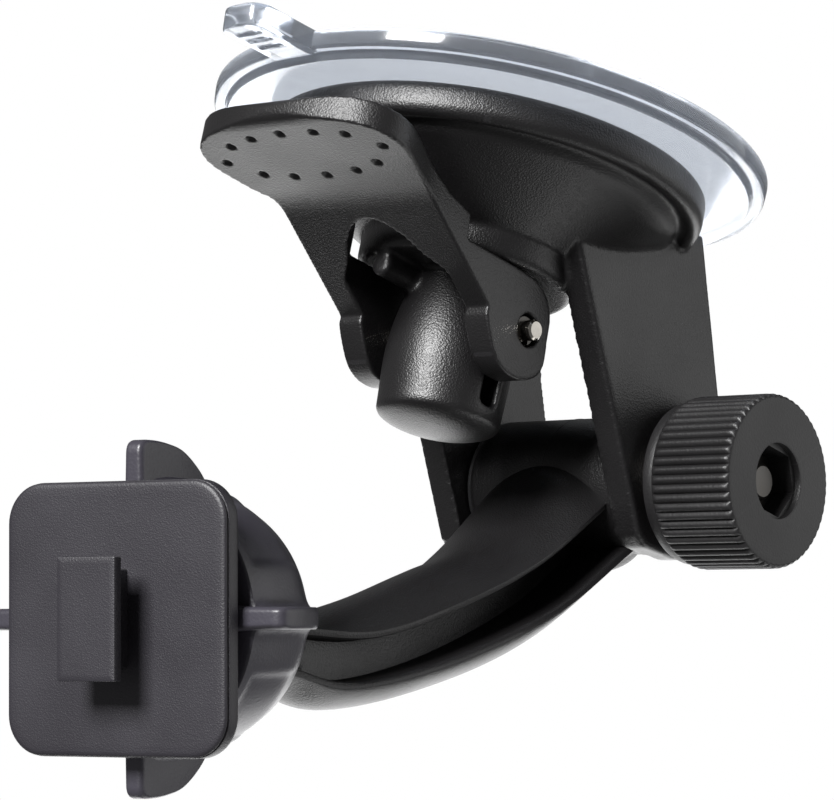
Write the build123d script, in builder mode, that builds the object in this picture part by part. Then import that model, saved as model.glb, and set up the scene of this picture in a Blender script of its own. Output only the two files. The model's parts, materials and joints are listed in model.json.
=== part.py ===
from build123d import *
import math
import os

# A suction-cup windscreen bracket for a dash camera.  Row frame: the origin is the
# centre of the glass, +Z points into the glass, the bracket hangs towards -Z,
# the clamp knob is on +X and the lever paddle and the camera plate are towards -Y.

# Suction pad
pad_radius = 44.0
pad_thickness = 4.0
pad_step_radius = 41.6
pad_step_height = 1.1
boss_radius = 9.0
boss_bottom = -6.6
tab_angle = -95.0
tab_reach = 55.6
tab_width = 8.6
tab_thickness = 3.4

# Plunger stem and its release spring
stem_radius = 4.8
stem_flange_radius = 7.0
stem_flange_thickness = 1.6
stem_top = -2.0
stem_bottom = -38.0
spring_radius = 7.3
spring_wire = 1.3
spring_turns = 4.5
spring_washer_thickness = 1.0

# Lever pin and cam
pin_z = -32.6
pin_radius = 1.6
pin_half_length = 16.5
pin_clearance = 0.05
clip_x = 13.9
clip_thickness = 0.6
clip_radius = 2.2
cam_height = 8.3
cam_travel_per_radian = 2.29
cam_limit_degrees = 80
dimple_radius = 0.75
dimple_depth = 0.6

# Base housing: bell, hub, column and two legs
pad_gap = 0.3
bell_radius = 35.0
bell_rim_height = 4.6
bell_wall = 2.6
hub_radius = 17.0
hub_bottom = -24.0
column_bottom = -48.6
column_bore_radius = 5.1
column_bore_bottom = -45.0
peg_radius = 1.8
peg_length = 10.4
slot_width = 3.7
slot_top = -27.0
slot_bottom = -44.5
leg_inner_x = 15.6
leg_outer_x = 20.2
pivot_y = 37.4
pivot_z = -45.1
leg_end_radius = 12.0

# Clamp screw, knob and nut
screw_radius = 3.0
screw_end_x = 35.6
nut_across_flats = 10.0
nut_thickness = 5.0
nut_x = 28.4
knob_radius = 13.6
knob_inner_x = 21.6
knob_outer_x = 38.5
knob_collar_radius = 12.8
knob_collar_length = 2.0
knob_washer_thickness = 1.0

# Arm
barrel_radius = 11.0
barrel_half_length = 14.7
friction_washer_thickness = 0.6
web_half_thickness = 2.5
arm_end_y = -27.0
neck_radius = 4.2

# Ball joint and camera plate
ball_y = -44.5
ball_z = -91.8
ball_radius = 8.5
joint_gap = 0.3
liner_thickness = 0.8
liner_half_band = 4.0
seat_radius = 3.4
seat_back = 10.8
head_tilt = 16.8
head_yaw = 9.0
plate_front = 17.5
plate_thickness = 3.4
plate_width = 37.5
plate_height = 38.5
plate_corner = 5.8
finger_outer_radius = 12.4
hook_standoff = 6.8
hook_flange = 1.7
hook_width = 9.8
hook_height = 17.2
hook_stem_width = 4.4
hook_stem_height = 14.0
collar_front = 11.0
collar_back = -10.5
fin_tip_radius = 25.2
fin_thickness = 3.1

os.makedirs("parts", exist_ok=True)


def save(part, name):
    """Label a finished piece and write its STEP file."""
    part.label = name
    export_step(part, f"parts/{name}.step")


def circle_point(radius, degrees):
    """A point on a circle about the origin."""
    angle = math.radians(degrees)
    return (radius * math.cos(angle), radius * math.sin(angle))


def cam_curve(count):
    """Outline of the cam about the pin, as (y, z) points.

    A flat face above the pin rides on it, and its height falls evenly with the lever's
    angle: h(a) = cam_height - cam_travel_per_radian * a.  The outline is the
    envelope of that face: p = h * n + h' * t, with n = (sin a, cos a), t = (cos a, -sin a).
    """
    points = []
    for step in range(count + 1):
        angle = math.radians(cam_limit_degrees) * step / count
        height = cam_height - cam_travel_per_radian * angle
        normal = (math.sin(angle), math.cos(angle))
        along = (math.cos(angle), -math.sin(angle))
        points.append((
            height * normal[0] - cam_travel_per_radian * along[0],
            pin_z + height * normal[1] - cam_travel_per_radian * along[1],
        ))
    return points


# Suction pad: clear disc with a step on its back, a boss for the stem and a pull tab
with BuildPart() as suction_pad:
    with BuildSketch(Plane.XZ) as pad_profile:
        with BuildLine():
            Polyline(
                (0, 0),
                (pad_radius - 0.6, 0),
                (pad_radius, -0.6),
                (pad_radius - 0.4, -(pad_thickness - pad_step_height)),
                (pad_step_radius + 0.4, -(pad_thickness - pad_step_height)),
                (pad_step_radius, -pad_thickness),
                (boss_radius + 1.5, -pad_thickness),
                (boss_radius, -pad_thickness - 1.0),
                (boss_radius, boss_bottom),
                (0, boss_bottom),
                (0, 0),
            )
        make_face()
    revolve(axis=Axis.Z)
    tab_plane = Plane(origin=(0, 0, -0.3), x_dir=(*circle_point(1, tab_angle), 0), z_dir=(0, 0, 1))
    with BuildSketch(tab_plane) as tab_outline:
        tab_length = tab_reach - pad_radius + 4
        with Locations((tab_reach - tab_length / 2, 0)):
            RectangleRounded(tab_length, tab_width, 2.6)
    extrude(amount=-tab_thickness)
    with BuildSketch(tab_plane.offset(-tab_thickness)) as tab_ribs:
        for rib in range(3):
            with Locations((tab_reach - 3.2 - 2.4 * rib, 0)):
                SlotOverall(tab_width - 3.0, 1.1, rotation=90)
    extrude(amount=-0.4)
    with BuildSketch(Plane.XY.offset(boss_bottom)) as shank_socket:
        Circle(stem_radius)
    extrude(amount=stem_top - boss_bottom, mode=Mode.SUBTRACT)
    with BuildSketch(Plane.XY.offset(stem_top)) as flange_socket:
        Circle(stem_flange_radius)
    extrude(amount=-stem_flange_thickness, mode=Mode.SUBTRACT)
save(suction_pad.part, "suction_pad")

# Plunger stem: flanged head moulded into the pad, cross hole for the lever pin
with BuildPart() as plunger_stem:
    with BuildSketch(Plane.XY.offset(stem_top)) as stem_section:
        Circle(stem_radius)
    extrude(amount=stem_bottom - stem_top)
    with BuildSketch(Plane.XY.offset(stem_top)) as flange_section:
        Circle(stem_flange_radius)
    extrude(amount=-stem_flange_thickness)
    chamfer(plunger_stem.faces().sort_by(Axis.Z)[0].edges(), 0.8)
    with BuildSketch(Plane.YZ) as cross_hole:
        with Locations((0, pin_z)):
            Circle(pin_radius)
    extrude(amount=stem_radius, both=True, mode=Mode.SUBTRACT)
save(plunger_stem.part, "plunger_stem")

# Steel washer between the pad's boss and the release spring
spring_top = boss_bottom - spring_washer_thickness
with BuildPart() as spring_washer:
    with BuildSketch(Plane.XY.offset(boss_bottom)) as washer_ring:
        Circle(boss_radius)
        Circle(stem_radius + 0.05, mode=Mode.SUBTRACT)
    extrude(amount=-spring_washer_thickness)
save(spring_washer.part, "spring_washer")

# Release spring: a round wire coil round the stem, inside the bell
bell_floor = -19.6
spring_length = spring_top - bell_floor - spring_wire - 2 * 0.05
with BuildPart() as release_spring:
    with BuildLine() as coil_path:
        Helix(
            pitch=spring_length / spring_turns,
            height=spring_length,
            radius=spring_radius,
            center=(0, 0, bell_floor + spring_wire / 2 + 0.05),
        )
    with BuildSketch(Plane(coil_path.line @ 0, z_dir=coil_path.line % 0)) as wire_section:
        Circle(spring_wire / 2)
    sweep(is_frenet=True)
save(release_spring.part, "release_spring")

# Steel lever pin across the stem and the lever's ears
with BuildPart() as lever_pin:
    with BuildSketch(Plane.YZ.offset(-pin_half_length)) as pin_section:
        with Locations((0, pin_z)):
            Circle(pin_radius)
    extrude(amount=2 * pin_half_length)
    chamfer(lever_pin.edges().filter_by(GeomType.CIRCLE), 0.3)
    for side in (-1, 1):
        with BuildSketch(Plane.YZ.offset(side * clip_x - clip_thickness / 2)) as clip_groove:
            with Locations((0, pin_z)):
                Circle(pin_radius + 0.5)
                Circle(pin_radius - 0.3, mode=Mode.SUBTRACT)
        extrude(amount=clip_thickness, mode=Mode.SUBTRACT)
save(lever_pin.part, "lever_pin")

# Retaining clips in the pin's grooves, open towards -Z
with BuildPart() as pin_clips:
    for side in (-1, 1):
        with BuildSketch(Plane.YZ.offset(side * clip_x - clip_thickness / 2)) as clip_ring:
            with Locations((0, pin_z)):
                Circle(clip_radius)
                Circle(pin_radius - 0.3, mode=Mode.SUBTRACT)
            with Locations((0, pin_z - clip_radius)):
                Rectangle(2 * (pin_radius - 0.5), 2 * clip_radius, mode=Mode.SUBTRACT)
        extrude(amount=clip_thickness)
save(pin_clips.part, "pin_clips")

# Base housing: bell with a rolled rim, hub, plunger column and the two clevis legs
bell_top = -pad_thickness - pad_gap
with BuildPart() as base_housing:
    with BuildSketch(Plane.XZ) as bell_profile:
        with BuildLine():
            rim_bottom = bell_top - bell_rim_height
            foot_edge = (9.7, column_bottom + 2.6)
            Line((0, bell_floor - 2), (0, column_bottom))
            Spline((0, column_bottom), (5.6, column_bottom + 0.4), (8.9, column_bottom + 1.5), foot_edge,
                   tangents=[(1, 0), (0.05, 1)])
            Spline(foot_edge, (10.0, -37.0), (8.8, -29.0), (7.6, hub_bottom),
                   tangents=[(0.03, 1), (-0.15, 1)])
            Line((7.6, hub_bottom), (hub_radius - 0.8, hub_bottom))
            Line((hub_radius - 0.8, hub_bottom), (hub_radius, hub_bottom + 0.8))
            Line((hub_radius, hub_bottom + 0.8), (hub_radius, -19.6))
            Line((hub_radius, -19.6), (29.6, -11.2))
            Spline((29.6, -11.2), (31.6, rim_bottom - 0.1), (33.0, rim_bottom - 0.8),
                   tangents=[(1, 0.67), (0.7, -0.7)])
            Spline((33.0, rim_bottom - 0.8), (bell_radius, rim_bottom + 1.2),
                   tangents=[(0.9, -0.1), (0, 1)])
            Line((bell_radius, rim_bottom + 1.2), (bell_radius, bell_top - 0.8))
            Line((bell_radius, bell_top - 0.8), (bell_radius - 0.8, bell_top))
            Polyline(
                (bell_radius - 0.8, bell_top), (bell_radius - bell_wall, bell_top),
                (bell_radius - bell_wall, bell_top - 2.8), (28.4, bell_top - 4.6),
                (14.5, bell_floor + 2.2), (13.0, bell_floor), (0, bell_floor), (0, bell_floor - 2),
            )
        make_face()
    revolve(axis=Axis.Z)
    for side in (-1, 1):
        leg_plane = Plane.YZ.offset(side * leg_inner_x)
        with BuildSketch(leg_plane) as leg_outline:
            with BuildLine():
                end_back = (pivot_y + leg_end_radius * math.cos(math.radians(24)),
                            pivot_z + leg_end_radius * math.sin(math.radians(24)))
                end_low = (pivot_y, pivot_z - leg_end_radius)
                Polyline(
                    end_low, (31.0, -57.6), (28.6, -56.4), (1.4, -17.2), (4.0, -11.5), (25.0, -7.6),
                    (31.6, -5.2), end_back,
                )
                RadiusArc(end_back, end_low, leg_end_radius)
            make_face()
        extrude(amount=side * (leg_outer_x - leg_inner_x))
    with BuildSketch(Plane.XZ) as cavity_profile:
        with BuildLine():
            Polyline(
                (0, bell_top + 1), (bell_radius - bell_wall, bell_top + 1),
                (bell_radius - bell_wall, bell_top - 2.8), (28.4, bell_top - 4.6),
                (14.5, bell_floor + 2.2), (13.0, bell_floor), (0, bell_floor), (0, bell_top + 1),
            )
        make_face()
    revolve(axis=Axis.Z, mode=Mode.SUBTRACT)
    with BuildSketch(Plane.XY.offset(bell_floor + 1)) as plunger_bore:
        Circle(column_bore_radius)
    extrude(amount=column_bore_bottom - bell_floor - 1, mode=Mode.SUBTRACT)
    with BuildSketch(Plane.YZ) as pin_slot:
        with Locations((0, (slot_top + slot_bottom) / 2)):
            RectangleRounded(slot_width, slot_top - slot_bottom, 0.5)
    extrude(amount=12.0, both=True, mode=Mode.SUBTRACT)
    with BuildSketch(Plane.YZ) as screw_hole:
        with Locations((pivot_y, pivot_z)):
            Circle(screw_radius + pin_clearance)
    extrude(amount=leg_outer_x + 1, both=True, mode=Mode.SUBTRACT)
    with BuildSketch(Plane.XZ.offset(5.0)) as peg_section:
        with Locations((-3.9, -26.1)):
            Circle(peg_radius)
    extrude(amount=peg_length)
save(base_housing.part, "base_housing")

# Cam lever: wide paddle, two arms either side of the column, cam ears on the pin
lever_arm_outer = 15.0
lever_arm_inner = 10.4
with BuildPart() as cam_lever:
    with BuildSketch(Plane.YZ) as lever_side:
        with BuildLine():
            cam = cam_curve(12)
            flat_start = (-17.5, pin_z + cam_height)
            paddle_end = (-47.4, -17.4)
            Line(cam[-1], (5.0, -35.6))
            Spline((5.0, -35.6), (3.2, -39.2), (-1.0, -40.7), (-5.4, -39.8), (-8.3, -36.8), (-10.2, -32.9),
                   (-12.8, -30.5), tangents=[(0, -1), (-0.84, 0.54)])
            Line((-12.8, -30.5), (-26.0, -22.0))
            Spline((-26.0, -22.0), (-29.5, -20.4), (-34.0, -19.6), tangents=[(-0.84, 0.54), (-1, 0.16)])
            Line((-34.0, -19.6), paddle_end)
            Spline(paddle_end, (-49.9, -15.5), (-47.8, -13.4), tangents=[(-1, 0.16), (1, 0.05)])
            Spline((-47.8, -13.4), (-36.0, -15.2), (-23.5, -19.0), tangents=[(1, -0.1), (0.87, -0.5)])
            Polyline((-23.5, -19.0), (-17.9, -20.4), flat_start, cam[0])
            Spline(*cam)
        make_face()
    extrude(amount=21.0, both=True)
    with BuildSketch(Plane.XY.offset(-50.0)) as lever_plan:
        with BuildLine():
            right_side = [(lever_arm_outer, 12), (lever_arm_outer, -25.5)]
            Line((-lever_arm_outer, 12), right_side[0])
            Line(*right_side)
            Spline(right_side[1], (16.2, -31.0), (18.2, -36.0), (19.1, -40.4), (17.4, -44.8),
                   (11.4, -48.3), (0, -49.9), (-11.4, -48.3), (-17.4, -44.8), (-19.1, -40.4),
                   (-18.2, -36.0), (-16.2, -31.0), (-lever_arm_outer, -25.5),
                   tangents=[(0, -1), (0, 1)])
            Line((-lever_arm_outer, -25.5), (-lever_arm_outer, 12))
        make_face()
    extrude(amount=45.0, mode=Mode.INTERSECT)
    with BuildSketch(Plane.XY.offset(-50.0)) as lever_window:
        with BuildLine():
            window_left = (-lever_arm_inner, -14.2)
            window_right = (lever_arm_inner, -14.2)
            Spline(window_left, (-8.4, -17.6), (-5.2, -22.0), (0, -24.6), (5.2, -22.0), (8.4, -17.6),
                   window_right, tangents=[(0, -1), (0, 1)])
            Polyline(window_right, (lever_arm_inner, 14), (-lever_arm_inner, 14), window_left)
        make_face()
    extrude(amount=45.0, mode=Mode.SUBTRACT)
    with BuildSketch(Plane.YZ) as pin_hole:
        with Locations((0, pin_z)):
            Circle(pin_radius + pin_clearance)
    extrude(amount=pin_half_length, both=True, mode=Mode.SUBTRACT)
    for side in (-1, 1):
        with BuildSketch(Plane.YZ.offset(side * (clip_x - 0.6))) as clip_recess:
            with Locations((0, pin_z)):
                Circle(clip_radius + 0.4)
        extrude(amount=side * 4, mode=Mode.SUBTRACT)
    paddle_slope = math.radians(9.5)
    paddle_face = Plane(
        origin=(0, -40.3, -18.55), x_dir=(1, 0, 0),
        z_dir=(0, -math.sin(paddle_slope), -math.cos(paddle_slope)),
    )
    with BuildSketch(paddle_face) as grip_dimples:
        for row_angle in (90, 270):
            for step in (-47, -23.5, 0, 23.5, 47):
                place = circle_point(1, row_angle + step)
                with Locations((15.6 * place[0], 5.9 * place[1])):
                    Circle(dimple_radius)
        for end in (-15.6, 15.6):
            with Locations((end, 0)):
                Circle(dimple_radius)
    extrude(amount=-dimple_depth, both=True, mode=Mode.SUBTRACT)
save(cam_lever.part, "cam_lever")

# Clamp screw: hexagon head outside the -X leg, shank through the barrel to the knob
with BuildPart() as clamp_screw:
    with BuildSketch(Plane.YZ.offset(-leg_outer_x - knob_washer_thickness)) as screw_section:
        with Locations((pivot_y, pivot_z)):
            Circle(screw_radius)
    extrude(amount=screw_end_x + leg_outer_x + knob_washer_thickness)
    chamfer(clamp_screw.faces().sort_by(Axis.X)[-1].edges(), 0.6)
    with BuildSketch(Plane.YZ.offset(-leg_outer_x - knob_washer_thickness)) as screw_head:
        with Locations((pivot_y, pivot_z)):
            RegularPolygon(nut_across_flats / 2, 6, major_radius=False)
    extrude(amount=-4.0)
save(clamp_screw.part, "clamp_screw")


def washer(start_x, thickness, outer_radius, inner_radius):
    """A flat ring about the pivot axis, from start_x towards +X."""
    with BuildPart() as ring:
        with BuildSketch(Plane.YZ.offset(start_x)):
            with Locations((pivot_y, pivot_z)):
                Circle(outer_radius)
                Circle(inner_radius, mode=Mode.SUBTRACT)
        extrude(amount=thickness)
    return ring.part


save(
    washer(-leg_outer_x - knob_washer_thickness, knob_washer_thickness, 6.2, screw_radius + 0.1),
    "screw_washer",
)
save(
    washer(leg_outer_x + 0.1, knob_washer_thickness, 9.0, screw_radius + pin_clearance),
    "knob_washer",
)

# Clamp knob with a through hole and a hexagon pocket for its nut
with BuildPart() as clamp_knob:
    with BuildSketch(Plane.YZ.offset(knob_inner_x)) as knob_collar:
        with Locations((pivot_y, pivot_z)):
            Circle(knob_collar_radius)
    extrude(amount=knob_collar_length)
    with BuildSketch(Plane.YZ.offset(knob_inner_x + knob_collar_length)) as knob_body:
        with Locations((pivot_y, pivot_z)):
            Circle(knob_radius)
    extrude(amount=knob_outer_x - knob_inner_x - knob_collar_length)
    chamfer(clamp_knob.faces().sort_by(Axis.X)[-1].edges(), 0.7)
    with BuildSketch(Plane.YZ.offset(knob_inner_x)) as knob_bore:
        with Locations((pivot_y, pivot_z)):
            Circle(screw_radius + 0.4)
    extrude(amount=knob_outer_x - knob_inner_x, mode=Mode.SUBTRACT)
    with BuildSketch(Plane.YZ.offset(nut_x)) as nut_pocket:
        with Locations((pivot_y, pivot_z)):
            RegularPolygon(nut_across_flats / 2, 6, major_radius=False)
    extrude(amount=knob_outer_x - nut_x, mode=Mode.SUBTRACT)
    with BuildSketch(Plane.YZ.offset(knob_outer_x - 1.0)) as pocket_mouth:
        with Locations((pivot_y, pivot_z)):
            Circle(5.9)
    extrude(amount=1.0, mode=Mode.SUBTRACT)
save(clamp_knob.part, "clamp_knob")

# Steel nut pressed into the knob's pocket
with BuildPart() as knob_nut:
    with BuildSketch(Plane.YZ.offset(nut_x)) as nut_section:
        with Locations((pivot_y, pivot_z)):
            RegularPolygon(nut_across_flats / 2, 6, major_radius=False)
            Circle(screw_radius + pin_clearance, mode=Mode.SUBTRACT)
    extrude(amount=nut_thickness)
save(knob_nut.part, "knob_nut")

# Arm: barrel between the legs, then a curved I-beam that ends in the ball joint's neck
arm_top = [(28.0, -43.0), (14.8, -60.0), (-2.0, -74.4), (-17.0, -83.0), (arm_end_y, -86.4)]
arm_low = [(arm_end_y, -96.8), (-18.0, -95.4), (0.5, -87.9), (20.0, -75.0), (44.0, -51.2)]
channel_top = [(30.6, -50.6), (18.0, -64.2), (4.0, -75.6), (-11.0, -84.6), (-24.0, -88.6)]
channel_low = [(-24.0, -94.2), (-14.7, -92.6), (3.5, -83.8), (22.9, -69.8), (36.0, -56.6)]
with BuildPart() as arm:
    with BuildSketch(Plane.YZ) as arm_side:
        with BuildLine():
            Spline(*arm_top, tangents=[(-0.6, -0.8), (-1, -0.24)])
            Line(arm_top[-1], arm_low[0])
            Spline(*arm_low, tangents=[(1, 0.05), (0.66, 0.75)])
            Line(arm_low[-1], arm_top[0])
        make_face()
    extrude(amount=14.0, both=True)
    with BuildSketch(Plane.XY.offset(-100.0)) as arm_plan:
        with BuildLine():
            Line((13.6, 50), (13.6, 30))
            Spline((13.6, 30), (11.6, 14.0), (8.6, -4.0), (6.0, arm_end_y - 1),
                   tangents=[(0, -1), (-0.1, -1)])
            Line((6.0, arm_end_y - 1), (-6.0, arm_end_y - 1))
            Spline((-6.0, arm_end_y - 1), (-8.6, -4.0), (-11.6, 14.0), (-13.6, 30),
                   tangents=[(-0.1, 1), (0, 1)])
            Polyline((-13.6, 30), (-13.6, 50), (13.6, 50))
        make_face()
    extrude(amount=70.0, mode=Mode.INTERSECT)
    for side in (-1, 1):
        with BuildSketch(Plane.YZ.offset(side * web_half_thickness)) as side_channel:
            with BuildLine():
                Spline(*channel_top)
                Line(channel_top[-1], channel_low[0])
                Spline(*channel_low)
                Line(channel_low[-1], channel_top[0])
            make_face()
        extrude(amount=side * 14.0, mode=Mode.SUBTRACT)
    with BuildSketch(Plane.YZ) as barrel_section:
        with Locations((pivot_y, pivot_z)):
            Circle(barrel_radius)
    extrude(amount=barrel_half_length, both=True)
    with BuildSketch(Plane.XZ.offset(-arm_end_y)) as neck_section:
        with Locations((0, ball_z)):
            Circle(neck_radius)
    extrude(amount=-ball_y + arm_end_y - 7.0)
    with BuildSketch(Plane.YZ) as barrel_bore:
        with Locations((pivot_y, pivot_z)):
            Circle(screw_radius + pin_clearance)
    extrude(amount=barrel_half_length, both=True, mode=Mode.SUBTRACT)
    with BuildSketch(Plane.XZ.offset(-ball_y - 7.0)) as stud_bore:
        with Locations((0, ball_z)):
            Circle(2.4)
    extrude(amount=-12.0, mode=Mode.SUBTRACT)
save(arm.part, "arm")

# Two thin friction washers between the barrel's ends and the legs
with BuildPart() as friction_washers:
    for side in (-1, 1):
        with BuildSketch(Plane.YZ.offset(side * barrel_half_length)) as washer_section:
            with Locations((pivot_y, pivot_z)):
                Circle(barrel_radius - 0.5)
                Circle(screw_radius + 0.2, mode=Mode.SUBTRACT)
        extrude(amount=side * friction_washer_thickness)
save(friction_washers.part, "friction_washers")

# Ball stud: the ball on the arm's neck, with a shank pressed into the neck
with BuildPart() as ball_stud:
    with Locations((0, ball_y, ball_z)):
        Sphere(ball_radius)
    with BuildSketch(Plane.XZ.offset(-ball_y - 7.0)) as stud_section:
        with Locations((0, ball_z)):
            Rectangle(30, 30)
    extrude(amount=-10.0, mode=Mode.SUBTRACT)
    with BuildSketch(Plane.XZ.offset(-ball_y - 7.0)) as stud_shank:
        with Locations((0, ball_z)):
            Circle(2.4)
    extrude(amount=-11.5)
save(ball_stud.part, "ball_stud")

# The head's own plane: its normal is the camera plate's, its origin the ball's centre
tilt = math.radians(head_tilt)
yaw = math.radians(head_yaw)
head_plane = Plane(
    origin=(0, ball_y, ball_z),
    x_dir=(math.cos(yaw), math.sin(yaw) * math.cos(tilt), math.sin(yaw) * math.sin(tilt)),
    z_dir=(math.sin(yaw), -math.cos(yaw) * math.cos(tilt), -math.cos(yaw) * math.sin(tilt)),
)
head_side = Plane(origin=head_plane.origin, x_dir=head_plane.x_dir, z_dir=-head_plane.y_dir)
head_axis = Axis(head_plane.origin, head_plane.z_dir)
liner_inner = ball_radius + joint_gap
liner_outer = liner_inner + liner_thickness
finger_inner = liner_outer + joint_gap


def ring_profile(inner, outer, low, high):
    """Half section of a spherical band, from height low to height high on the head axis."""
    low_angle = math.degrees(math.asin(low / inner))
    high_angle = math.degrees(math.asin(high / inner))
    middle = (low_angle + high_angle) / 2
    with BuildSketch(head_side) as section:
        with BuildLine():
            ThreePointArc(circle_point(inner, low_angle), circle_point(inner, middle),
                          circle_point(inner, high_angle))
            Line(circle_point(inner, high_angle), circle_point(outer, high_angle))
            ThreePointArc(circle_point(outer, high_angle), circle_point(outer, middle),
                          circle_point(outer, low_angle))
            Line(circle_point(outer, low_angle), circle_point(inner, low_angle))
        make_face()
    return section.sketch


# Ball liner: a thin spherical band that the ball turns in
with BuildPart() as ball_liner:
    add(ring_profile(liner_inner, liner_outer, -liner_half_band, liner_half_band))
    revolve(axis=head_axis)
save(ball_liner.part, "ball_liner")

# Seat disc: a dished disc between the ball's front and the socket's floor
with BuildPart() as seat_disc:
    with BuildSketch(head_plane.offset(5.0)) as seat_section:
        Circle(seat_radius)
    extrude(amount=seat_back - 5.0)
    with BuildSketch(head_side) as dish_profile:
        with BuildLine():
            ThreePointArc((0, -liner_inner), (liner_inner, 0), (0, liner_inner))
            Line((0, liner_inner), (0, -liner_inner))
        make_face()
    revolve(axis=head_axis, mode=Mode.SUBTRACT)
save(seat_disc.part, "seat_disc")

# Camera plate: rounded square, T hook in front, split socket behind
plate_back = plate_front - plate_thickness
with BuildPart() as camera_plate:
    with BuildSketch(head_plane.offset(plate_back)) as plate_outline:
        RectangleRounded(plate_width, plate_height, plate_corner)
    extrude(amount=plate_thickness)
    with BuildSketch(head_plane.offset(plate_front)) as hook_stem:
        Rectangle(hook_stem_width, hook_stem_height)
    extrude(amount=hook_standoff - hook_flange)
    with BuildSketch(head_plane.offset(plate_front + hook_standoff - hook_flange)) as hook_face:
        Rectangle(hook_width, hook_height)
    extrude(amount=hook_flange)
    with BuildSketch(head_side) as socket_profile:
        with BuildLine():
            low_angle = -34.0
            low_inner = circle_point(finger_inner, low_angle)
            low_outer = circle_point(finger_outer_radius, low_angle)
            Polyline((0, plate_back), (finger_outer_radius, plate_back), (finger_outer_radius, 0))
            ThreePointArc((finger_outer_radius, 0), circle_point(finger_outer_radius, low_angle / 2),
                          low_outer)
            Line(low_outer, low_inner)
            ThreePointArc(low_inner, circle_point(finger_inner, low_angle / 2), (finger_inner, 0))
            Polyline((finger_inner, 0), (finger_inner, seat_back + 0.3), (0, seat_back + 0.3),
                     (0, plate_back))
        make_face()
    revolve(axis=head_axis)
    for turn in range(3):
        with BuildSketch(head_plane.offset(seat_back - 1.0)) as finger_slit:
            Rectangle(1.4, 40, rotation=30 + 60 * turn)
        extrude(amount=-24.0, mode=Mode.SUBTRACT)
save(camera_plate.part, "camera_plate")

# Tightening collar: domed ring with four fins, threaded over the socket
collar_bore = finger_outer_radius + joint_gap
with BuildPart() as collar:
    with BuildSketch(head_side) as collar_profile:
        with BuildLine():
            Line((collar_bore, collar_front), (18.9, collar_front))
            Spline((18.9, collar_front), (19.3, 6.0), (18.8, -1.5), (16.6, -5.8), (13.6, -9.0),
                   (11.6, collar_back))
            Line((11.6, collar_back), (10.4, collar_back))
            Polyline((10.4, collar_back), (collar_bore, -3.6), (collar_bore, collar_front))
        make_face()
    revolve(axis=head_axis)
    for turn in range(4):
        angle = math.radians(90 * turn)
        fin_dir = head_plane.x_dir * math.cos(angle) + head_plane.y_dir * math.sin(angle)
        fin_plane = Plane(
            origin=head_plane.origin, x_dir=fin_dir, z_dir=fin_dir.cross(head_plane.z_dir)
        )
        with BuildSketch(fin_plane) as fin_profile:
            with BuildLine():
                Polyline(
                    (15.5, 13.2), (fin_tip_radius - 1.0, 13.2), (fin_tip_radius, 12.2),
                    (fin_tip_radius, 8.4),
                )
                Spline((fin_tip_radius, 8.4), (24.5, 3.6), (22.9, 0.6), (20.6, -2.4), (16.5, -5.6))
                Polyline((16.5, -5.6), (15.5, 13.2))
            make_face()
        extrude(amount=fin_thickness / 2, both=True)
save(collar.part, "collar")

print("pieces written:", len(os.listdir("parts")))
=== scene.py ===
import json

import bmesh
import bpy
import numpy as np
from mathutils import Matrix, Vector


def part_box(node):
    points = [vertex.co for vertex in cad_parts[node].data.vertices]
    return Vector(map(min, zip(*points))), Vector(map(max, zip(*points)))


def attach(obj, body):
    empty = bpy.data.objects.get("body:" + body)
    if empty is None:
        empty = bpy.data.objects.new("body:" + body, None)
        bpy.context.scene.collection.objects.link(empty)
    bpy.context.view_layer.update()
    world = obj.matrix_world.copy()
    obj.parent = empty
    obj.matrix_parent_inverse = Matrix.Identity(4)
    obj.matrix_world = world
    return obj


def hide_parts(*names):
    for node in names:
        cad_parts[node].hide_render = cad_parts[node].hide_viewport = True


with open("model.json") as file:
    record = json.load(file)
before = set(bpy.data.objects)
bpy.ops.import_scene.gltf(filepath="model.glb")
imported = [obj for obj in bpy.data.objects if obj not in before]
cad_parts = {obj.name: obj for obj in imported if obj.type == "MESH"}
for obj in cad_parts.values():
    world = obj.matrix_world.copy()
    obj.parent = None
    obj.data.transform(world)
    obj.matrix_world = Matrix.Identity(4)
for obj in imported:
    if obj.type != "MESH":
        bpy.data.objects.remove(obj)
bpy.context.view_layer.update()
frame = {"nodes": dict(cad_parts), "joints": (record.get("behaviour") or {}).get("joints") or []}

MM = 0.001
NODES = frame["nodes"]
JOINTS = {joint["name"]: joint for joint in frame["joints"]}

# Places read from the frame: joint axes and node boxes fix where each piece goes
PIN = np.array(JOINTS["lever_open"]["pos_m"])
PIVOT = np.array(JOINTS["arm_tilt"]["pos_m"])
BALL = np.array(JOINTS["plate_roll"]["pos_m"])
HEAD_NORMAL = np.array(JOINTS["plate_roll"]["axis"])
HEAD_RIGHT = np.array(JOINTS["ball_pitch"]["axis"])
HEAD_UP = np.array(JOINTS["ball_yaw"]["axis"])


# ---------------------------------------------------------------- mesh helpers

def smooth_through(points, count):
    """Catmull-Rom curve through a few points, sampled evenly in its parameter."""
    points = np.asarray(points, float)
    padded = np.vstack([2 * points[0] - points[1], points, 2 * points[-1] - points[-2]])
    place = np.linspace(0, len(points) - 1 - 1e-9, count)
    i = place.astype(int)
    t = (place - i)[:, None]
    a, b, c, d = (padded[i + k] for k in range(4))
    square = (2 * a - 5 * b + 4 * c - d) * t**2
    cube = (3 * b - a - 3 * c + d) * t**3
    return 0.5 * (2 * b + (c - a) * t + square + cube)


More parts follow.
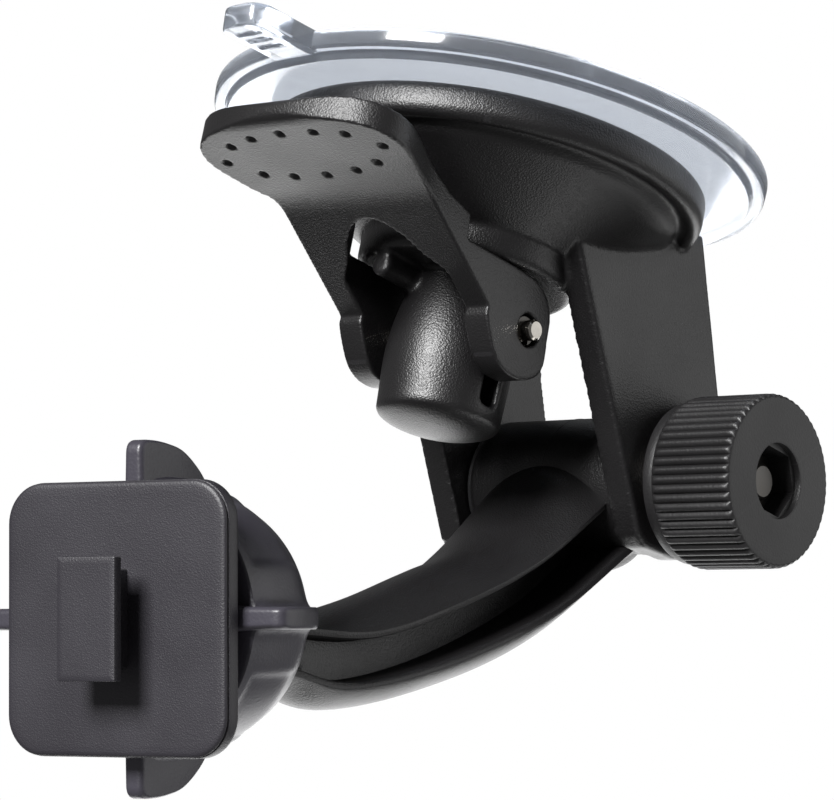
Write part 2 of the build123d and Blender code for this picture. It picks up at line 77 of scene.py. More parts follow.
def rounded_outline(corners, radius, per_corner=6):
    """A closed polygon with each corner replaced by a quadratic arc of about that radius."""
    corners = np.asarray(corners, float)
    t = np.linspace(0, 1, per_corner)[:, None]
    arcs = []
    for k, corner in enumerate(corners):
        before = corners[k - 1] - corner
        after = corners[(k + 1) % len(corners)] - corner
        reach_before = min(radius, 0.45 * np.linalg.norm(before))
        reach_after = min(radius, 0.45 * np.linalg.norm(after))
        start = corner + before / np.linalg.norm(before) * reach_before
        end = corner + after / np.linalg.norm(after) * reach_after
        arcs.append((1 - t) ** 2 * start + 2 * t * (1 - t) * corner + t**2 * end)
    return np.vstack(arcs)


def ring_stack(rings):
    """Points and groups of faces of a closed skin over a stack of rings, a fan on each end.

    rings is an array (n, m, 3): n closed loops of m points.  Quads join each loop to the
    next, and the mean point of the first and of the last loop closes the ends.
    """
    rings = np.asarray(rings, float)
    n, m, _ = rings.shape
    index = np.arange(n * m).reshape(n, m)
    ahead = np.roll(index, -1, axis=1)
    quads = np.stack([index[:-1], ahead[:-1], ahead[1:], index[1:]], -1).reshape(-1, 4)
    first, last = n * m, n * m + 1
    cap_a = np.stack([np.full(m, first), ahead[0], index[0]], -1)
    cap_b = np.stack([np.full(m, last), index[-1], ahead[-1]], -1)
    points = np.vstack([rings.reshape(-1, 3), rings[0].mean(0), rings[-1].mean(0)])
    faces = [quads, cap_a, cap_b]
    a, b, c, d = (points[quads[:, k]] for k in range(4))
    volume = np.einsum("ij,ij->", np.cross(a, b), c) + np.einsum("ij,ij->", np.cross(a, c), d)
    if volume < 0:
        faces = [group[:, ::-1] for group in faces]
    return points, faces


def looped_stack(rings):
    """A skin over rings that come back to the first one, as on a tube bent into a loop."""
    rings = np.asarray(rings, float)
    n, m, _ = rings.shape
    index = np.arange(n * m).reshape(n, m)
    ahead = np.roll(index, -1, axis=1)
    quads = np.stack([index, ahead, np.roll(ahead, -1, axis=0), np.roll(index, -1, axis=0)], -1)
    quads = quads.reshape(-1, 4)
    points = rings.reshape(-1, 3)
    a, b, c, d = (points[quads[:, k]] for k in range(4))
    volume = np.einsum("ij,ij->", np.cross(a, b), c) + np.einsum("ij,ij->", np.cross(a, c), d)
    return points, [quads[:, ::-1] if volume < 0 else quads]


def piece(name, body, material, *shells, sharp=40):
    """One object from one or more (points, groups of faces) shells, riding on a body."""
    points, faces, base = [], [], 0
    for shell_points, groups in shells:
        points.append(shell_points)
        for group in groups:
            faces += (group + base).tolist()
        base += len(shell_points)
    mesh = bpy.data.meshes.new(name)
    mesh.from_pydata(np.vstack(points).tolist(), [], faces)
    mesh.update()
    return finish_piece(name, body, material, mesh, sharp)


def finish_piece(name, body, material, mesh, sharp=40):
    """Link the mesh as an object, shade it, give it its material and its body."""
    made = bpy.data.objects.new(name, mesh)
    bpy.context.scene.collection.objects.link(made)
    mesh.materials.clear()
    mesh.materials.append(material)
    mesh.polygons.foreach_set("use_smooth", np.ones(len(mesh.polygons), bool))
    mesh.set_sharp_from_angle(angle=np.radians(sharp))
    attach(made, body)
    return made


def moulded_copy(name, node, voxel, rounds):
    """A CAD node's shape as one moulded skin: merged, remeshed at voxel size, edges relaxed.

    Each round moves a vertex halfway to the mean of its neighbours and then back by a
    little more, so edges round off and flat walls stay where they are.
    """
    mesh = NODES[node].data.copy()
    bm = bmesh.new()
    bm.from_mesh(mesh)
    bmesh.ops.remove_doubles(bm, verts=bm.verts, dist=0.002 * MM)
    bm.to_mesh(mesh)
    bm.free()
    stand = bpy.data.objects.new(name + "_stand", mesh)
    bpy.context.scene.collection.objects.link(stand)
    remesh = stand.modifiers.new("skin", "REMESH")
    remesh.mode = "VOXEL"
    remesh.voxel_size = voxel
    bpy.context.view_layer.update()
    settled = stand.evaluated_get(bpy.context.evaluated_depsgraph_get())
    skin = bpy.data.meshes.new_from_object(settled)
    bpy.data.objects.remove(stand)
    skin.name = name
    count = len(skin.vertices)
    points = np.empty(count * 3)
    skin.vertices.foreach_get("co", points)
    points = points.reshape(-1, 3)
    edges = np.empty(len(skin.edges) * 2, int)
    skin.edges.foreach_get("vertices", edges)
    edges = edges.reshape(-1, 2)
    degree = np.bincount(edges.ravel(), minlength=count)[:, None]
    for turn in range(rounds):
        for weight in (0.5, -0.52):
            total = np.zeros_like(points)
            for axis in range(3):
                total[:, axis] = (
                    np.bincount(edges[:, 0], points[edges[:, 1], axis], count)
                    + np.bincount(edges[:, 1], points[edges[:, 0], axis], count)
                )
            points = points + weight * (total / degree - points)
    return skin, points


# ---------------------------------------------------------------- materials

def colour(hex_code):
    """sRGB hex to linear RGBA."""
    value = np.array([int(hex_code[k:k + 2], 16) for k in (1, 3, 5)]) / 255
    linear = np.where(value <= 0.04045, value / 12.92, ((value + 0.055) / 1.055) ** 2.4)
    return (*linear, 1.0)


def add(tree, kind, links=None, **settings):
    """Add a node of that kind, set its sockets and properties, and link named inputs."""
    made = tree.nodes.new(kind)
    for key, value in settings.items():
        socket = made.inputs.get(key.replace("_", " "))
        if socket is not None:
            socket.default_value = value
        else:
            setattr(made, key, value)
    for key, source in (links or {}).items():
        tree.links.new(source, made.inputs[key])
    return made


def material(name):
    """An empty node material with its Principled shader and its object coordinates."""
    made = bpy.data.materials.new(name)
    made.use_nodes = True
    tree = made.node_tree
    shader = tree.nodes["Principled BSDF"]
    place = tree.nodes.new("ShaderNodeTexCoord").outputs["Object"]
    return made, tree, shader, place


def spark_plastic(name, base, light, grain_mm, depth_mm, rough, swing=0.08):
    """ABS injection-moulded in a spark-eroded tool.

    The tool's craters, about grain_mm across, break highlights into soft sparkle.  Slow
    mottling, 14 mm across, shifts colour and gloss a little as the melt's flow does, and
    convex edges are mixed toward #262527 as a painted edge highlight.
    """
    made, tree, shader, place = material(name)
    grain = add(tree, "ShaderNodeTexNoise", {"Vector": place}, Scale=1 / (grain_mm * MM),
                Detail=2.0, Roughness=0.55)
    pits = add(tree, "ShaderNodeTexVoronoi", {"Vector": place}, Scale=0.7 / (grain_mm * MM))
    craters = {0: grain.outputs["Fac"], 1: pits.outputs["Distance"]}
    mixed = add(tree, "ShaderNodeMath", craters, operation="ADD")
    bump = add(tree, "ShaderNodeBump", {"Height": mixed.outputs[0]}, Strength=0.9,
               Distance=depth_mm * MM)
    mottle = add(tree, "ShaderNodeTexNoise", {"Vector": place}, Scale=1 / (14 * MM), Detail=3.0)
    # Painted edge highlight: convex edges, found by pointiness, are mixed up to half toward #262527,
    # which is lighter than the black finishes.
    edge_pointiness = add(tree, "ShaderNodeNewGeometry")
    edge = add(tree, "ShaderNodeMapRange", {"Value": edge_pointiness.outputs["Pointiness"]})
    edge.inputs["From Min"].default_value = 0.52
    edge.inputs["From Max"].default_value = 0.62
    edge.inputs["To Max"].default_value = 0.5
    tone = add(tree, "ShaderNodeMix", {"Factor": mottle.outputs["Fac"]}, data_type="RGBA")
    tone.inputs[6].default_value = colour(base)
    tone.inputs[7].default_value = colour(light)
    painted_edge_highlight = add(tree, "ShaderNodeMix", data_type="RGBA")
    tree.links.new(edge.outputs["Result"], painted_edge_highlight.inputs["Factor"])
    tree.links.new(tone.outputs[2], painted_edge_highlight.inputs[6])
    painted_edge_highlight.inputs[7].default_value = colour("#262527")
    gloss = add(tree, "ShaderNodeMapRange", {"Value": mottle.outputs["Fac"]})
    gloss.inputs["To Min"].default_value = rough - swing
    gloss.inputs["To Max"].default_value = rough + swing
    tree.links.new(painted_edge_highlight.outputs[2], shader.inputs["Base Color"])
    tree.links.new(gloss.outputs["Result"], shader.inputs["Roughness"])
    tree.links.new(bump.outputs["Normal"], shader.inputs["Normal"])
    shader.inputs["IOR"].default_value = 1.53
    return made


def clear_vinyl(name):
    """Soft PVC moulded clear: glossy and faintly blue, with slow 9 mm waves from the mould.

    Its index sits below solid PVC's so that the thin disc stays pale against white.
    """
    made, tree, shader, place = material(name)
    waves = add(tree, "ShaderNodeTexNoise", {"Vector": place}, Scale=1 / (9 * MM), Detail=2.0)
    bump = add(tree, "ShaderNodeBump", {"Height": waves.outputs["Fac"]}, Strength=0.35,
               Distance=0.25 * MM)
    tone = add(tree, "ShaderNodeMix", {"Factor": waves.outputs["Fac"]}, data_type="RGBA")
    tone.inputs[6].default_value = colour("#d9e0ec")
    tone.inputs[7].default_value = colour("#e4eaf3")
    tree.links.new(tone.outputs[2], shader.inputs["Base Color"])
    tree.links.new(bump.outputs["Normal"], shader.inputs["Normal"])
    shader.inputs["Roughness"].default_value = 0.12
    shader.inputs["IOR"].default_value = 1.38
    shader.inputs["Transmission Weight"].default_value = 0.94
    return made


def turned_metal(name, tint, worn, rough, line_mm, axis):
    """Steel, plated after turning: fine lines line_mm apart run across the axis.

    Real tool marks are finer than 0.1 mm; they are drawn coarser so that they show.  Worn
    spots 2.5 mm across shift the tint and the gloss.
    """
    made, tree, shader, place = material(name)
    squash = add(tree, "ShaderNodeMapping", {"Vector": place})
    squash.inputs["Scale"].default_value = [1.0 if k == axis else 0.08 for k in range(3)]
    lines = add(tree, "ShaderNodeTexNoise", {"Vector": squash.outputs["Vector"]},
                Scale=1 / (line_mm * MM), Detail=3.0)
    bump = add(tree, "ShaderNodeBump", {"Height": lines.outputs["Fac"]}, Strength=0.4,
               Distance=0.02 * MM)
    tarnish = add(tree, "ShaderNodeTexNoise", {"Vector": place}, Scale=1 / (2.5 * MM), Detail=4.0)
    gloss = add(tree, "ShaderNodeMapRange", {"Value": tarnish.outputs["Fac"]})
    gloss.inputs["To Min"].default_value = rough * 0.7
    gloss.inputs["To Max"].default_value = rough * 1.4
    tone = add(tree, "ShaderNodeMix", {"Factor": tarnish.outputs["Fac"]}, data_type="RGBA")
    tone.inputs[6].default_value = colour(tint)
    tone.inputs[7].default_value = colour(worn)
    tree.links.new(tone.outputs[2], shader.inputs["Base Color"])
    tree.links.new(gloss.outputs["Result"], shader.inputs["Roughness"])
    tree.links.new(bump.outputs["Normal"], shader.inputs["Normal"])
    shader.inputs["Metallic"].default_value = 1.0
    return made


def slick_nylon(name):
    """Self-lubricating nylon, moulded: satin black with a faint flow mottle 3 mm across."""
    made, tree, shader, place = material(name)
    flow = add(tree, "ShaderNodeTexNoise", {"Vector": place}, Scale=1 / (3 * MM), Detail=4.0)
    bump = add(tree, "ShaderNodeBump", {"Height": flow.outputs["Fac"]}, Strength=0.3,
               Distance=0.03 * MM)
    gloss = add(tree, "ShaderNodeMapRange", {"Value": flow.outputs["Fac"]})
    gloss.inputs["To Min"].default_value = 0.28
    gloss.inputs["To Max"].default_value = 0.42
    tone = add(tree, "ShaderNodeMix", {"Factor": flow.outputs["Fac"]}, data_type="RGBA")
    tone.inputs[6].default_value = colour("#19191a")
    tone.inputs[7].default_value = colour("#232324")
    tree.links.new(tone.outputs[2], shader.inputs["Base Color"])
    tree.links.new(gloss.outputs["Result"], shader.inputs["Roughness"])
    tree.links.new(bump.outputs["Normal"], shader.inputs["Normal"])
    return made


# Grain is 0.16 to 0.34 mm across, at the coarse end of spark-eroded finishes, so that it shows
ABS_BLACK = spark_plastic("abs_spark_black", "#0f0e0f", "#151415", 0.22, 0.045, 0.39)
ABS_GREY = spark_plastic("abs_spark_slate", "#1d1b20", "#27252b", 0.16, 0.028, 0.46)
ABS_KNOB = spark_plastic("abs_matt_knob", "#131213", "#1a191a", 0.30, 0.03, 0.48)
ABS_COLLAR = spark_plastic("abs_satin_collar", "#302e35", "#3a3840", 0.34, 0.02, 0.38)
PVC = clear_vinyl("pvc_clear_soft")
BRIGHT = turned_metal("steel_nickel_bright", "#d8d4cc", "#8f8a83", 0.16, 0.15, 0)
ZINC = turned_metal("steel_zinc_plated", "#545352", "#6b6864", 0.4, 0.2, 0)
NYLON = slick_nylon("nylon_black_satin")


MIDDLE = Vector((0, 0, -0.05))


def camera():
    """The bracket seen from below and to the right, through a long lens."""
    azimuth, elevation, roll = np.radians([42.0, -15.37, 10.94])
    distance = 0.6
    level_reach = np.cos(elevation)
    back = Vector((
        np.sin(azimuth) * level_reach, -np.cos(azimuth) * level_reach, np.sin(elevation),
    ))
    level = (-back).cross(Vector((0, 0, 1))).normalized()
    upright = level.cross(-back)
    right = level * np.cos(roll) + upright * np.sin(roll)
    up = upright * np.cos(roll) - level * np.sin(roll)
    data = bpy.data.cameras.new("camera")
    made = bpy.data.objects.new("camera", data)
    bpy.context.scene.collection.objects.link(made)
    made.matrix_world = Matrix.Translation(MIDDLE + back * distance) @ Matrix(
        (right, up, back)
    ).transposed().to_4x4()
    data.lens = 168.3
    data.shift_x = -0.0192
    data.shift_y = 0.05
    data.clip_start = 0.02
    data.clip_end = 20
    bpy.context.scene.camera = made


def area_light(name, place, size, power):
    """A square soft white light at place, facing the bracket, hidden from the camera itself."""
    data = bpy.data.lights.new(name, "AREA")
    data.size = size
    data.energy = power
    made = bpy.data.objects.new(name, data)
    bpy.context.scene.collection.objects.link(made)
    made.location = place
    made.rotation_mode = "QUATERNION"
    made.rotation_quaternion = (MIDDLE - Vector(place)).to_track_quat("-Z", "Y")
    made.visible_camera = False


def studio():
    """White surround, pale floor well below, a soft key in front and three soft lights behind.

    The surround is bright to the camera and through clear parts, and dim to everything
    else, so dark plastic keeps its depth.
    """
    world = bpy.data.worlds.new("white_surround")
    world.use_nodes = True
    bpy.context.scene.world = world
    tree = world.node_tree
    backdrop = tree.nodes["Background"]
    rays = tree.nodes.new("ShaderNodeLightPath")
    straight = {0: rays.outputs["Is Camera Ray"], 1: rays.outputs["Is Transmission Ray"]}
    seen = add(tree, "ShaderNodeMath", straight, operation="MAXIMUM")
    strength = add(tree, "ShaderNodeMapRange", {"Value": seen.outputs[0]})
    strength.inputs["To Min"].default_value = 0.15
    strength.inputs["To Max"].default_value = 1.0
    tree.links.new(strength.outputs["Result"], backdrop.inputs["Strength"])
    backdrop.inputs["Color"].default_value = (1, 1, 1, 1)
    area_light("light_front", (0.1, -1.2, 0.3), 0.45, 36)
    area_light("light_back_low", (-0.75, 0.95, -0.45), 1.3, 13)
    area_light("light_back_right", (0.85, 0.85, 0.3), 1.2, 4.5)
    area_light("light_under_back", (0.25, 0.8, -0.95), 0.8, 4)
    side, drop = 3.0, -1.6  # metres: half the floor's side, and its height
    corners = [(-side, -side, drop), (side, -side, drop), (side, side, drop), (-side, side, drop)]
    mesh = bpy.data.meshes.new("floor")
    mesh.from_pydata(corners, [], [(0, 1, 2, 3)])
    floor = bpy.data.objects.new("floor", mesh)
    bpy.context.scene.collection.objects.link(floor)
    made, _, shader, _ = material("floor_pale_paper")
    shader.inputs["Base Color"].default_value = colour("#f1f1f0")
    shader.inputs["Roughness"].default_value = 0.9
    shader.inputs["Emission Color"].default_value = (1, 1, 1, 1)
    shader.inputs["Emission Strength"].default_value = 0.3
    floor.visible_glossy = False  # its glow would flatten the plastic's undersides
    mesh.materials.append(made)
    bpy.context.scene.view_settings.view_transform = "Standard"


def finish_cad_nodes():
    """Give each CAD node that stays visible the finish of its own material."""
    finishes = {
        "suction_pad": PVC, "plunger_stem": NYLON, "spring_washer": ZINC, "release_spring": BRIGHT,
        "lever_pin": BRIGHT, "pin_clips": ZINC, "base_housing": ABS_BLACK, "cam_lever": ABS_BLACK,
        "clamp_screw": ZINC, "screw_washer": ZINC, "knob_washer": ZINC, "clamp_knob": ABS_KNOB,
        "knob_nut": ZINC, "arm": ABS_BLACK, "friction_washers": NYLON, "ball_stud": NYLON,
        "ball_liner": NYLON, "seat_disc": NYLON, "camera_plate": ABS_GREY, "collar": ABS_COLLAR,
    }
    for node, finish in finishes.items():
        data = NODES[node].data
        data.materials.clear()
        data.materials.append(finish)


# ---------------------------------------------------------------- pieces

def about_pivot(x, radius, theta):
    """Rings about the clamp screw's axis: x along it, radius as an (n, m) array in mm."""
    radius = np.broadcast_to(radius, (len(x), len(theta)))
    y = PIVOT[1] / MM + radius * np.cos(theta)
    z = PIVOT[2] / MM + radius * np.sin(theta)
    return np.stack([np.broadcast_to(np.asarray(x, float)[:, None], y.shape), y, z], -1) * MM


def on_head(a, b, c):
    """Points given along the head's right, up and outward directions, in mm, as metres."""
    a, b, c = np.broadcast_arrays(a, b, c)
    across = a[..., None] * HEAD_RIGHT + b[..., None] * HEAD_UP
    return BALL + MM * (across + c[..., None] * HEAD_NORMAL)


def rounded_square(half_width, half_height, radius, per_corner=14, per_side=12):
    """Ring of points on a rectangle with round corners: arcs at the corners, straight sides."""
    turn = np.linspace(0, np.pi / 2, per_corner)
    corners = []
    for k, (sx, sy) in enumerate(((1, 1), (-1, 1), (-1, -1), (1, -1))):
        angle = turn + k * np.pi / 2
        corners.append(np.stack([
            sx * (half_width - radius) + radius * np.cos(angle),
            sy * (half_height - radius) + radius * np.sin(angle),
        ], -1))
    parts = []
    for k, arc in enumerate(corners):
        t = np.linspace(0, 1, per_side, endpoint=False)[1:, None]
        side = corners[(k + 1) % 4][0] - arc[-1]
        parts += [arc, arc[-1] + t * side]
    return np.vstack(parts)


def slab(half_width, half_height, radius, levels):
    """A block on the head: rounded rectangles at levels of (inset, height), in mm."""
    rings = []
    for inset, c in levels:
        ring = rounded_square(half_width - inset, half_height - inset, max(radius - inset, 0.08))
        rings.append(on_head(ring[:, 0], ring[:, 1], c))
    return ring_stack(rings)


def clamp_knob():
    """Knob turned about the screw: radius is a function of the place along it and the angle.

    Between its ends the rim is R - d (1 - |sin 28 t|^0.7): 56 round ribs with narrow
    grooves.  The pocket's rings follow a hexagon, a / cos(t mod 60 - 30 degrees).
    """
    theta = np.linspace(0, 2 * np.pi, 896, endpoint=False)
    grooves = 1 - np.abs(np.sin(28 * theta)) ** 0.7
    uneven = 1 + 0.12 * np.sin(5 * theta + 1) * np.sin(13 * theta)
    hexagon = 5.0 / np.cos(np.mod(theta, np.pi / 3) - np.pi / 6)
    plain = np.ones_like(theta)
    steps = [(21.6, 3.4 * plain), (21.6, 8.0 * plain), (21.6, 12.3 * plain), (21.75, 12.65 * plain),
             (22.1, 12.8 * plain), (23.2, 12.8 * plain), (23.5, 12.75 * plain)]
    ribs = [(23.7, 12.95, 0.1), (23.9, 13.25, 0.45), (24.3, 13.5, 0.85), (24.8, 13.6, 1.0)]
    ribs += [(x, 13.6, 1.0) for x in np.linspace(25.5, 36.6, 14)]
    ribs += [(37.2, 13.6, 1.0), (37.6, 13.58, 0.95), (37.9, 13.5, 0.8), (38.15, 13.38, 0.55),
             (38.35, 13.2, 0.3), (38.46, 13.0, 0.1)]
    steps += [(x, r - 0.62 * depth * grooves * uneven) for x, r, depth in ribs]
    steps += [(38.5, r * plain) for r in (12.8, 12.0, 10.0, 8.0, 6.4, 6.05)]
    steps += [(38.45, 5.92 * plain), (38.3, 5.88 * plain), (37.5, 5.88 * plain),
              (37.48, 0.5 * hexagon + 2.92), (37.45, hexagon), (37.2, hexagon - 0.04),
              (33.0, hexagon - 0.05), (28.4, hexagon - 0.05), (28.4, 3.4 * plain),
              (25.0, 3.4 * plain)]
    x = np.array([step[0] for step in steps])
    shell = looped_stack(about_pivot(x, np.array([step[1] for step in steps]), theta))
    made = piece("knob_ribbed", "knob", ABS_KNOB, shell, sharp=32)
    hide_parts("clamp_knob")


def camera_plate():
    """Plate, T hook and split socket: stacks of rounded rectangles and turned sectors."""
    plate = slab(18.75, 19.25, 5.8, [
        (3.0, 14.1), (0.9, 14.1), (0.35, 14.2), (0.1, 14.45), (0.0, 14.8), (0.0, 16.45),
        (0.06, 16.6), (0.42, 16.68), (0.45, 16.85), (0.14, 16.95), (0.12, 17.1), (0.25, 17.32),
        (0.5, 17.45), (0.9, 17.5), (2.0, 17.5), (6.0, 17.5), (12.0, 17.5),
    ])
    stem = slab(2.2, 7.0, 0.4, [(0.0, 17.0), (0.0, 22.8)])
    flange = slab(4.9, 8.6, 0.3, [
        (0.3, 22.6), (0.08, 22.64), (0.0, 22.8), (0.0, 24.1), (0.06, 24.24), (0.22, 24.3),
        (1.0, 24.3), (3.0, 24.3),
    ])
    angle = np.radians(np.linspace(-34, 0, 14))
    outer = np.stack([12.4 * np.cos(angle), 12.4 * np.sin(angle)], -1)
    inner = np.stack([9.9 * np.cos(angle), 9.9 * np.sin(angle)], -1)[::-1]
    section = np.vstack([outer, [(12.4, 5.0), (12.4, 14.3), (9.9, 14.3), (9.9, 5.0)], inner])
    out, high = section.T
    fingers = []
    for k in range(6):
        turn = np.radians(np.linspace(-56.5, -3.5, 22) + 60 * (k + 1))[:, None]
        fingers.append(ring_stack(on_head(out * np.cos(turn), out * np.sin(turn), high)))
    made = piece("plate_with_hook", "head", ABS_GREY, plate, stem, flange, *fingers, sharp=35)
    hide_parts("camera_plate")


def collar():
    """Collar turned about the head's axis, with a shallow panel in each quarter, and four fins.

    Its outside is the profile's radius, less a panel that is sunk between two soft steps in
    angle, plus a fillet exp(-gap / 0.9 mm) that runs up each fin's root.
    """
    theta = np.linspace(0, 2 * np.pi, 720, endpoint=False)
    outside = smooth_through([
        (18.5, 11.0), (18.85, 10.8), (18.95, 10.3), (19.3, 6.0), (18.9, -1.0), (17.6, -4.4),
        (16.0, -6.9), (14.2, -8.8), (12.9, -9.9), (12.2, -10.4), (11.6, -10.5),
    ], 60)
    quarter = np.abs(np.mod(theta, np.pi / 2) - np.pi / 4)
    to_fin = np.clip((np.pi / 4 - quarter) * 18 - 1.4, 0, None)
    panel = 1 / (1 + np.exp((quarter - 0.36) / 0.02))
    level = outside[:, 1:]
    length = np.clip((level + 6) / 3, 0, 1) * np.clip((9.6 - level) / 1.5, 0, 1)
    fillet = np.clip((level + 9) / 4, 0, 1) * np.clip((11.6 - level) / 1.6, 0.2, 1)
    radius = outside[:, :1] - 0.5 * panel * length + 0.9 * np.exp(-to_fin / 0.8) * fillet
    inside = np.array([
        (10.4, -10.5), (11.4, -7.0), (12.7, -3.6), (12.7, 4.0), (12.7, 11.0), (15.6, 11.0),
    ])
    radius = np.vstack([radius, np.broadcast_to(inside[:, :1], (len(inside), len(theta)))])
    height = np.concatenate([outside[:, 1], inside[:, 1]])[:, None]
    shells = [looped_stack(on_head(radius * np.cos(theta), radius * np.sin(theta), height))]
    outline = rounded_outline([
        (15.5, 13.2), (25.2, 13.2), (25.2, 8.4), (24.4, 3.4), (22.9, 0.6), (20.6, -2.4),
        (16.5, -5.6), (15.5, 0.0),
    ], 2.0, 10)
    middle = outline.mean(0)
    across = np.sin(np.linspace(-np.pi / 2, np.pi / 2, 22))
    for k in range(4):
        rings = []
        for t in across:
            inset = 0.75 * (1 - np.sqrt(max(1 - max(abs(t) - 0.5, 0) ** 2 / 0.25, 0)))
            ring = middle + (outline - middle) * (1 - inset / 7)
            side = 1.55 * t * (1 + 0.18 * np.clip((19 - ring[:, 0]) / 3, 0, 1))
            c, s = np.cos(k * np.pi / 2), np.sin(k * np.pi / 2)
            rings.append(on_head(ring[:, 0] * c - side * s, ring[:, 0] * s + side * c, ring[:, 1]))
        shells.append(ring_stack(rings))
    made = piece("collar_finned", "collar_body", ABS_COLLAR, *shells, sharp=45)
    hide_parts("collar")


def curved_arm():
    """Barrel, I-beam and neck.

    The beam is a loft: at each station the section is an I between four curves in the middle
    plane.  Its flanges are crowned: height = edge + crown (1 - (x / W)^2)^p, with p 0.9 on
    top and 0.8 below.
    """
    stations = 90
    top, low, upper, lower = (smooth_through(places, stations) for places in (
        [(29.5, -42.0), (25.6, -46.2), (14.8, -60.0), (-2.0, -74.4), (-17.0, -83.0), (-27.2, -86.4)],
        [(43.5, -51.4), (37.8, -57.4), (20.0, -75.0), (0.5, -87.9), (-18.0, -95.4), (-27.2, -96.8)],
        [(33.2, -46.6), (29.4, -51.4), (17.6, -64.6), (3.6, -75.9), (-11.4, -84.8), (-26.9, -89.0)],
        [(37.6, -54.0), (35.0, -56.8), (22.3, -70.2), (3.2, -83.9), (-14.9, -92.8), (-27.0, -94.2)],
    ))
    width = np.interp(top[:, 0], [-28, -4, 14, 30], [6.0, 8.6, 11.6, 13.6])
    down = (low - top) / np.linalg.norm(low - top, axis=1)[:, None]
    across = np.sin(np.linspace(-np.pi / 2, np.pi / 2, 33))
    rise = 1 - across**2
    # flange edges, then the bulge of the top and of the underside beyond them
    edge_top = upper - down * 1.1
    edge_low = lower + down * 0.9
    crown = np.linalg.norm(edge_top - top, axis=1)[:, None] * 0.98
    belly = np.linalg.norm(edge_low - low, axis=1)[:, None] * 0.98
    lid = edge_top[:, None] - down[:, None] * (crown * rise**0.9)[..., None]
    keel = edge_low[:, None] + down[:, None] * (belly * rise**0.8)[..., None]
    x_lid = (width[:, None] * across)[..., None]
    web = 2.5
    round_in = ((1.0, 0.0), (0.99, 0.5), (0.96, 0.95), (0.9, 1.15))

    def at(x, place):
        return np.column_stack([np.broadcast_to(x, stations), place])

    right = [at(width * share, edge_top + down * drop) for share, drop in round_in]
    right += [at(web + out, upper + down * drop) for out, drop in ((0.9, 0.1), (0.2, 0.45), (0, 1.2))]
    right += [at(web + out, lower - down * rise) for out, rise in ((0, 1.2), (0.2, 0.45), (0.9, 0.1))]
    right += [at(width * share, edge_low - down * rise) for share, rise in round_in[::-1]]
    right = np.stack(right, 1)
    left = right[:, ::-1] * (-1, 1, 1)
    over = np.concatenate([x_lid, lid], -1)
    under = np.concatenate([x_lid, keel], -1)[:, ::-1]
    beam = ring_stack(np.concatenate([over[:, 1:-1], right, under[:, 1:-1], left], 1) * MM)
    theta = np.linspace(0, 2 * np.pi, 160, endpoint=False)
    half_x = np.array([0.05, 0.12, 13.6, 14.2, 14.6, 14.7, 14.7, 14.7])
    half_r = np.array([11.06, 11.0, 11.0, 10.92, 10.65, 10.3, 6.0, 3.05])
    x = np.concatenate([-half_x[::-1], half_x])
    r = np.concatenate([half_r[::-1], half_r])
    barrel = looped_stack(about_pivot(x, r[:, None], theta))
    turn = np.linspace(0, 2 * np.pi, 64, endpoint=False)
    y = np.array([-24.0, -26.5, -27.0, -27.6, -28.6, -37.4])
    radius = np.array([5.0, 5.0, 4.9, 4.4, 4.2, 4.2])[:, None]
    neck = ring_stack(np.stack([
        radius * np.cos(turn), np.broadcast_to(y[:, None], (6, 64)),
        BALL[2] / MM + radius * np.sin(turn),
    ], -1) * MM)
    made = piece("arm_curved", "arm_body", ABS_BLACK, beam, barrel, neck, sharp=38)
    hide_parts("arm")


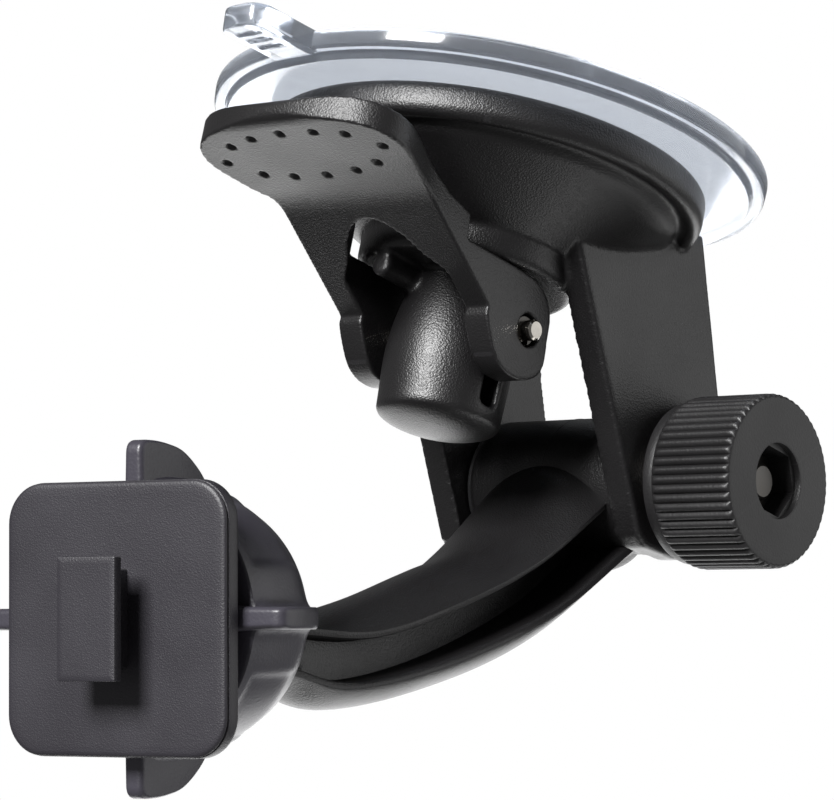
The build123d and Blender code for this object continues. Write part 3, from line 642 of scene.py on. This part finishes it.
def suction_pad():
    """Clear disc and pull tab as one skin over the polar grid (share of radius, angle).

    The rim is a circle that runs out along the tab's sides; the underside is the disc's
    step, the tab's flat and its three grip ribs, blended by smooth steps.
    """
    tab_angle, reach, half, disc = np.radians(-95.0), 55.6, 4.3, 43.98
    fine = tab_angle + np.radians(np.linspace(-9, 9, 260))
    coarse = tab_angle + np.radians(np.linspace(9, 351, 500))[1:-1]
    theta = np.concatenate([fine, coarse])
    delta = np.abs(np.arctan2(np.sin(theta - tab_angle), np.cos(theta - tab_angle)))
    side = half / np.maximum(np.sin(delta), 1e-6)
    end = reach - 1.6 * (np.tan(np.minimum(delta, 0.1)) * reach / half) ** 4
    tab_edge = np.minimum(end, side)
    smooth = 0.5
    out = np.maximum(tab_edge, 40) - disc
    rim = smooth * np.log(np.exp(out / smooth) + 1) + disc - smooth * np.log(2) * (tab_edge < disc)
    rim = np.where(delta < np.radians(8), np.clip(rim, disc, reach), disc)

    def underside(r, angle):
        step = 1 / (1 + np.exp(-(r - 41.8) / 0.12))
        flat = -4.0 + 1.1 * step
        along = r * np.cos(angle - tab_angle)
        aside = np.abs(r * np.sin(angle - tab_angle))
        on_tab = 1 / (1 + np.exp((aside - 4.1) / 0.12)) / (1 + np.exp(-(along - 42.6) / 0.15))
        ribs = sum(np.exp(-((along - place) / 0.45) ** 2) for place in (52.4, 50.0, 47.6))
        ribs = ribs / (1 + np.exp((aside - 2.6) / 0.2)) * 0.4
        return flat * (1 - on_tab) + (-3.68 - ribs) * on_tab

    rings = []
    for share, z in ((0.3, 0.0), (0.7, 0.0), (0.92, 0.0)):
        rings.append((rim * share, np.full_like(rim, z)))
    for inset, z in ((0.6, 0.0), (0.35, -0.06), (0.15, -0.2), (0.03, -0.42), (0.0, -0.7),
                     (0.05, -1.6), (0.12, -2.3)):
        rings.append((rim - inset, np.full_like(rim, z)))
    for inset, lift in ((0.2, 0.35), (0.32, 0.14), (0.5, 0.03), (0.75, 0.0)):
        rings.append((rim - inset, underside(rim - inset, theta) + lift))
    for share in np.linspace(0, 1, 46)[1:]:
        r = (rim - 0.75) + (39.5 - (rim - 0.75)) * share
        rings.append((r, underside(r, theta)))
    for r, z in ((34.0, -4.0), (26.0, -4.0), (18.0, -4.0), (12.0, -4.0), (10.6, -4.0), (9.9, -4.15),
                 (9.4, -4.5), (9.05, -5.0), (9.0, -6.0), (8.8, -6.5), (8.3, -6.6), (5.0, -6.6)):
        rings.append((np.full_like(rim, r), np.full_like(rim, z)))
    skin = np.array([[r * np.cos(theta), r * np.sin(theta), z] for r, z in rings])
    skin = skin.transpose(0, 2, 1) * MM
    made = piece("pad_clear", "glass_side", PVC, ring_stack(skin), sharp=50)
    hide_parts("suction_pad")


def moulded(name, node, body, finish, voxel, rounds):
    """Replace a CAD node by its moulded skin, voxel in mm, kept inside the node's own box."""
    skin, points = moulded_copy(name, node, voxel * MM, rounds)
    lo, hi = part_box(node)
    points = np.clip(points, np.array(lo), np.array(hi))
    skin.vertices.foreach_set("co", points.ravel())
    skin.update()
    made = finish_piece(name, body, finish, skin, 60)
    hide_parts(node)


camera()
studio()
finish_cad_nodes()
clamp_knob()
camera_plate()
collar()
curved_arm()
suction_pad()
moulded("housing_moulded", "base_housing", "housing", ABS_BLACK, 0.52, 4)
moulded("lever_moulded", "cam_lever", "lever", ABS_BLACK, 0.27, 12)
